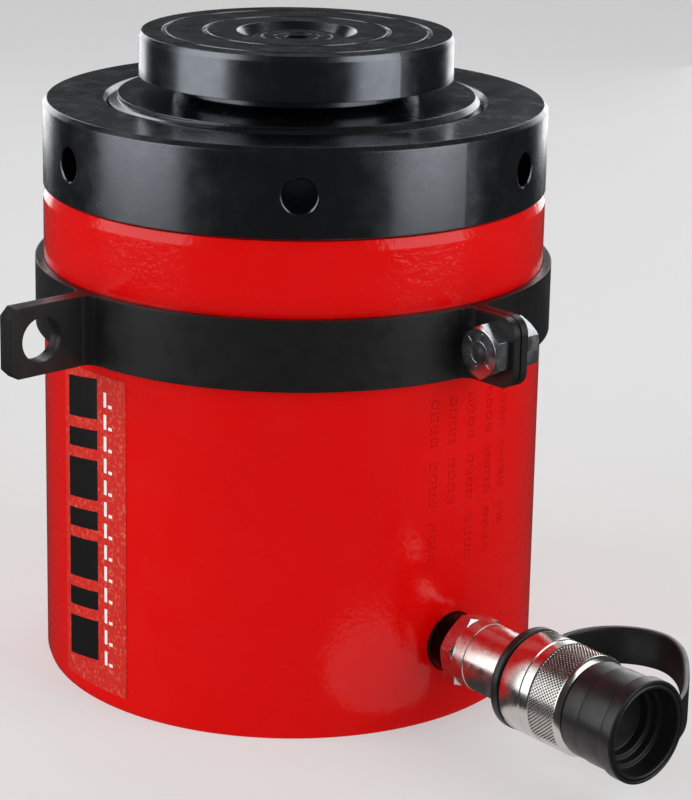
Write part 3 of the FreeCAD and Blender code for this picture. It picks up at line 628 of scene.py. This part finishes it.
def build_strap():
    path = smooth_path(STRAP_PATH)
    section = strap_section()
    verts, faces = [], []
    for i, point in enumerate(path):
        along = (path[min(i + 1, len(path) - 1)] - path[max(i - 1, 0)]).normalized()
        across = Vector((-along.y, along.x))
        for a, up in section:
            spot = point + across * a
            verts.append((spot.x * MM, spot.y * MM, (STRAP_MID_Z + up) * MM))
    count = len(section)
    for i in range(len(path) - 1):
        for j in range(count):
            k = (j + 1) % count
            faces.append((i * count + j, i * count + k, (i + 1) * count + k, (i + 1) * count + j))
    faces.append(tuple(range(count)))
    last = (len(path) - 1) * count
    faces.append(tuple(last + j for j in reversed(range(count))))
    strap = add_object("tether_strap", mesh_from("tether_strap", verts, faces),
                       FINISHES["cap_plastic"], 40)
    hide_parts("cap_tether")
    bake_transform(strap)


def build_loops():
    neck = rounded([(131.6, 12.4), (131.6, 18.2), (134.8, 18.2), (134.8, 12.4)], 0.8, 4)
    nose = rounded([(182.6, 16.65), (182.6, 17.9), (CAP_X1 - 0.1, 17.9), (CAP_X1 - 0.1, 16.65)],
                   0.5, 4)
    for name, outline, body in (("tether_neck_loop", neck, "cylinder"),
                                ("tether_nose_loop", nose, "cap")):
        loop = lathe(name, outline, 96, FINISHES["cap_plastic"], 40)
        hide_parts("cap_tether")
        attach(loop, body)


build_sleeve()
build_cap()
build_strap()
build_loops()


# ---------------------------------------------------------------- label

LABEL_FROM, LABEL_TO = math.radians(-100.0), math.radians(-77.5)
LABEL_LOW = 5.5 * MM
LABEL_SKIN = 0.2 * MM
INK_SKIN = 0.03 * MM
BLOCK_HEIGHTS = (15.0, 7.0, 15.0, 7.0, 15.0, 7.0, 15.0)
BLOCK_FROM, BLOCK_TO, BLOCK_GAP, BLOCK_SLANT = -15.0, 3.6, 4.2, 3.0
RULE_COUNT, RULE_PITCH, RULE_LENGTH = 13, 8.1, 5.4
CURVE_SLICES = 24


def curved_patch(name, corners, low_r, high_r, finish):
    """Thin solid on the body's surface over a polygon of (arc metres, z) corners."""
    bm = bmesh.new()
    middle = (LABEL_FROM + LABEL_TO) / 2
    face = bm.faces.new([bm.verts.new((a, z, 0)) for a, z in corners])
    bmesh.ops.triangulate(bm, faces=[face])
    lows = min(a for a, _ in corners)
    highs = max(a for a, _ in corners)
    for i in range(1, CURVE_SLICES):
        cut = lows + (highs - lows) * i / CURVE_SLICES
        bmesh.ops.bisect_plane(bm, geom=bm.verts[:] + bm.edges[:] + bm.faces[:],
                               plane_co=(cut, 0, 0), plane_no=(1, 0, 0))
    made = bmesh.ops.extrude_face_region(bm, geom=bm.faces[:])
    tops = [v for v in made["geom"] if isinstance(v, bmesh.types.BMVert)]
    for v in tops:
        v.co.z = high_r - low_r
    for v in bm.verts:
        a, z, up = v.co
        r = low_r + up
        angle = middle + a / BODY_R
        v.co = Vector((r * math.cos(angle), r * math.sin(angle), z))
    bmesh.ops.recalc_face_normals(bm, faces=bm.faces)
    mesh = bpy.data.meshes.new(name)
    bm.to_mesh(mesh)
    bm.free()
    obj = add_object(name, mesh, finish, 30)
    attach(obj, "cylinder")
    return obj


def bar(left, right, low, high, slant=0.0):
    return [(left, low), (right, low + slant), (right, high + slant), (left, high)]


def build_label():
    """Plain graphic on the film: a column of black blocks beside a dashed white rule."""
    black = ink("label_black", (0.004, 0.003, 0.003))
    white = ink("label_white", (0.90, 0.88, 0.86))
    base = BODY_R + LABEL_SKIN
    top = base + INK_SKIN
    low = LABEL_LOW + 7.5 * MM
    for i, height in enumerate(BLOCK_HEIGHTS):
        corners = bar(BLOCK_FROM * MM, BLOCK_TO * MM, low, low + height * MM, BLOCK_SLANT * MM)
        curved_patch(f"label_block_{i + 1}", corners, base, top, black)
        low += (height + BLOCK_GAP) * MM
    for i in range(RULE_COUNT):
        low = LABEL_LOW + 10.0 * MM + i * (RULE_PITCH * MM)
        rule = bar(7.2 * MM, 8.6 * MM, low, low + RULE_LENGTH * MM)
        curved_patch(f"label_rule_{i + 1}", rule, base, top, white)
        curved_patch(f"label_tick_{i + 1}", bar(9.6 * MM, 11.4 * MM, low, low + 1.2 * MM),
                     base, top, white)


MARK_COLUMNS = ((-6.5, 14), (-1.5, 10), (4.0, 15), (10.0, 15), (15.5, 12))
MARK_TOP, MARK_PITCH, MARK_GAP_EVERY = 119.0, 4.5, 5
MARK_HALF, MARK_R, MARK_RISE = 1.25, 0.45, 0.2
MARK_SIDES = 8


def build_marks():
    """Rows of small squares, dot-peened in the paint beside the coupling."""
    verts, faces = [], []
    for angle, cells in MARK_COLUMNS:
        for cell in range(cells):
            if cell % MARK_GAP_EVERY == MARK_GAP_EVERY - 1:
                continue
            middle = MARK_TOP - cell * MARK_PITCH
            for across in (-1, 0, 1):
                for up in (-1, 0, 1):
                    if across or up:
                        turn = math.radians(angle) + across * MARK_HALF * MM / BODY_R
                        add_dot(verts, faces, turn, (middle + up * MARK_HALF) * MM)
    marks = add_object("peened_marks", mesh_from("peened_marks", verts, faces),
                       FINISHES["red_paint"], 60)
    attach(marks, "cylinder")


def add_dot(verts, faces, angle, z):
    """Low closed dome standing on the body's surface."""
    first, sides = len(verts), MARK_SIDES
    rings = ((MARK_R, -0.05), (MARK_R, 0.0), (MARK_R * 0.55, MARK_RISE * 0.8))
    out = Vector((math.cos(angle), math.sin(angle), 0.0))
    across = Vector((-math.sin(angle), math.cos(angle), 0.0))
    centre = out * BODY_R + Vector((0.0, 0.0, z))
    for radius, rise in rings:
        for k in range(sides):
            turn = 2 * math.pi * k / sides
            spot = across * math.cos(turn) + Vector((0.0, 0.0, math.sin(turn)))
            verts.append(centre + spot * (radius * MM) + out * (rise * MM))
    verts.append(centre + out * (MARK_RISE * MM))
    for ring in range(len(rings) - 1):
        for k in range(sides):
            a = first + ring * sides + k
            b = first + ring * sides + (k + 1) % sides
            faces.append((a, b, b + sides, a + sides))
    last = first + (len(rings) - 1) * sides
    for k in range(sides):
        faces.append((last + k, last + (k + 1) % sides, first + len(rings) * sides))
    faces.append(tuple(first + k for k in reversed(range(sides))))


# ---------------------------------------------------------------- clamp bolt

EAR_ANGLE = math.radians(2.0)
EAR_HOLE_AT = 107.5
BOLT_FACE = -9.75
BAND_MID_Z = 140.9
BOLT_TICKS = 6


def build_bolt_marks():
    """Raised ring and radial ticks forged on the bolt's head."""
    verts, faces = [], []
    ring = [(3.6, -0.05), (4.2, -0.05), (4.1, 0.12), (3.7, 0.12)]
    steps = 48
    for i in range(steps):
        turn = 2 * math.pi * i / steps
        for r, rise in ring:
            verts.append(bolt_point(r * math.cos(turn), r * math.sin(turn), rise))
    for i in range(steps):
        for j in range(4):
            a, b = 4 * i, 4 * ((i + 1) % steps)
            faces.append((a + j, b + j, b + (j + 1) % 4, a + (j + 1) % 4))
    for i in range(BOLT_TICKS):
        turn = 2 * math.pi * i / BOLT_TICKS + 0.3
        out = Vector((math.cos(turn), math.sin(turn)))
        side = Vector((-out.y, out.x)) * 0.35
        first = len(verts)
        for rise, shrink in ((-0.05, 1.0), (0.16, 0.7)):
            for r, way in ((4.9, -1), (7.0, -1), (7.0, 1), (4.9, 1)):
                spot = out * r + side * (way * shrink)
                verts.append(bolt_point(spot.x, spot.y, rise))
        faces += [(first, first + 1, first + 2, first + 3),
                  (first + 4, first + 5, first + 6, first + 7)]
        faces += [(first + j, first + (j + 1) % 4, first + 4 + (j + 1) % 4, first + 4 + j)
                  for j in range(4)]
    marks = add_object("bolt_head_marks", mesh_from("bolt_head_marks", verts, faces),
                       FINISHES["zinc_plate"], 40)
    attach(marks, "cylinder")


def bolt_point(radial, up, rise):
    """Point on the bolt's head in metres; rise is away from the head's face."""
    spot = Vector(((EAR_HOLE_AT + radial) * MM, (BOLT_FACE - rise) * MM, (BAND_MID_Z + up) * MM))
    return Matrix.Rotation(EAR_ANGLE, 3, "Z") @ spot


build_marks()
build_bolt_marks()
build_label()


# ---------------------------------------------------------------- camera, floor, light

def build_camera():
    data = bpy.data.cameras.new("camera")
    data.lens = CAMERA_LENS
    data.shift_y = CAMERA_SHIFT_Y
    data.clip_start = 0.01
    data.clip_end = 50.0
    camera = bpy.data.objects.new("camera", data)
    bpy.context.scene.collection.objects.link(camera)
    turn = CAMERA_FORWARD.to_track_quat("-Z", "Y")
    camera.rotation_mode = "QUATERNION"
    camera.rotation_quaternion = turn @ Quaternion((0, 0, 1), CAMERA_ROLL)
    camera.location = CAMERA_AT
    bpy.context.scene.camera = camera


STAGE_R, STAGE_WALL_H, STAGE_BEND_R = 3.4, 3.2, 1.6
STAGE_DROP = 0.2 * MM
PATCH_AT, PATCH_R = (0.150, -0.028), 0.045
STAGE_STEPS = 96


def stage_surface(name, profile, material):
    """Surface of revolution about Z through (radius, height) points, from the middle out."""
    verts, faces = [], []
    count = len(profile)
    for i in range(STAGE_STEPS):
        angle = 2 * math.pi * i / STAGE_STEPS
        verts += [(r * math.cos(angle), r * math.sin(angle), z) for r, z in profile]
    for i in range(STAGE_STEPS):
        a, b = i * count, (i + 1) % STAGE_STEPS * count
        faces += [(a + j, a + j + 1, b + j + 1, b + j) for j in range(count - 1)]
    faces = [f if f[0] % count else (0, f[1], f[2]) for f in faces]
    mesh = bpy.data.meshes.new(name)
    mesh.from_pydata(verts, [], faces)
    obj = add_object(name, mesh, material, 40)
    obj.location.z = -STAGE_DROP
    return obj


def build_floor():
    """Pale floor that turns up into a wall; only a patch of it shows in glossy surfaces."""
    pale = new_material("floor_white", (0.5, 0.5, 0.5), roughness=0.9,
                        Emission_Color=(1.0, 1.0, 1.0, 1.0), Emission_Strength=0.4)
    sweep = [(0.0, 0.0)]
    steps = 16
    for i in range(steps + 1):
        bend = math.radians(90.0 * i / steps)
        sweep.append((STAGE_R - STAGE_BEND_R + STAGE_BEND_R * math.sin(bend),
                      STAGE_BEND_R - STAGE_BEND_R * math.cos(bend)))
    sweep.append((STAGE_R, STAGE_WALL_H))
    backdrop = stage_surface("backdrop", sweep, pale)
    backdrop.visible_glossy = False
    patch = stage_surface("floor_patch", [(0.0, 0.0), (PATCH_R, 0.0)], pale)
    patch.location.x, patch.location.y = PATCH_AT
    patch.location.z = -STAGE_DROP / 2


def softbox(name, bearing, distance, height, size, power, aim=(0.0, 0.0, 0.11)):
    """Rectangular area light; bearing is counted from the camera's side, positive to the right."""
    data = bpy.data.lights.new(name, "AREA")
    data.shape = "RECTANGLE"
    data.size, data.size_y = size
    data.energy = power
    light = bpy.data.objects.new(name, data)
    bpy.context.scene.collection.objects.link(light)
    angle = FRONT + math.radians(bearing)
    light.location = (distance * math.cos(angle), distance * math.sin(angle), height)
    aim_at = Vector(aim) - light.location
    light.rotation_mode = "QUATERNION"
    light.rotation_quaternion = aim_at.to_track_quat("-Z", "Y")
    return light


def build_lights():
    softbox("left_strip", -72, 1.0, 0.46, (0.9, 1.08), 6.2)
    softbox("right_strip", 60, 1.0, 0.46, (0.75, 1.08), 5.2)
    left_rim = softbox("left_rim", -152, 1.2, 0.45, (0.55, 1.1), 4.5)
    right_rim = softbox("right_rim", 152, 1.2, 0.45, (0.55, 1.1), 4.5)
    left_rim.visible_diffuse = False
    right_rim.visible_diffuse = False
    softbox("top_panel", 165, 0.9, 1.1, (1.2, 0.6), 3.0)


def build_world():
    world = bpy.data.worlds.new("studio")
    world.use_nodes = True
    back = world.node_tree.nodes["Background"]
    back.inputs["Color"].default_value = (1.0, 1.0, 1.0, 1.0)
    back.inputs["Strength"].default_value = 0.04
    bpy.context.scene.world = world


build_camera()
build_floor()
build_lights()
build_world()
bpy.context.scene.view_settings.view_transform = "Standard"
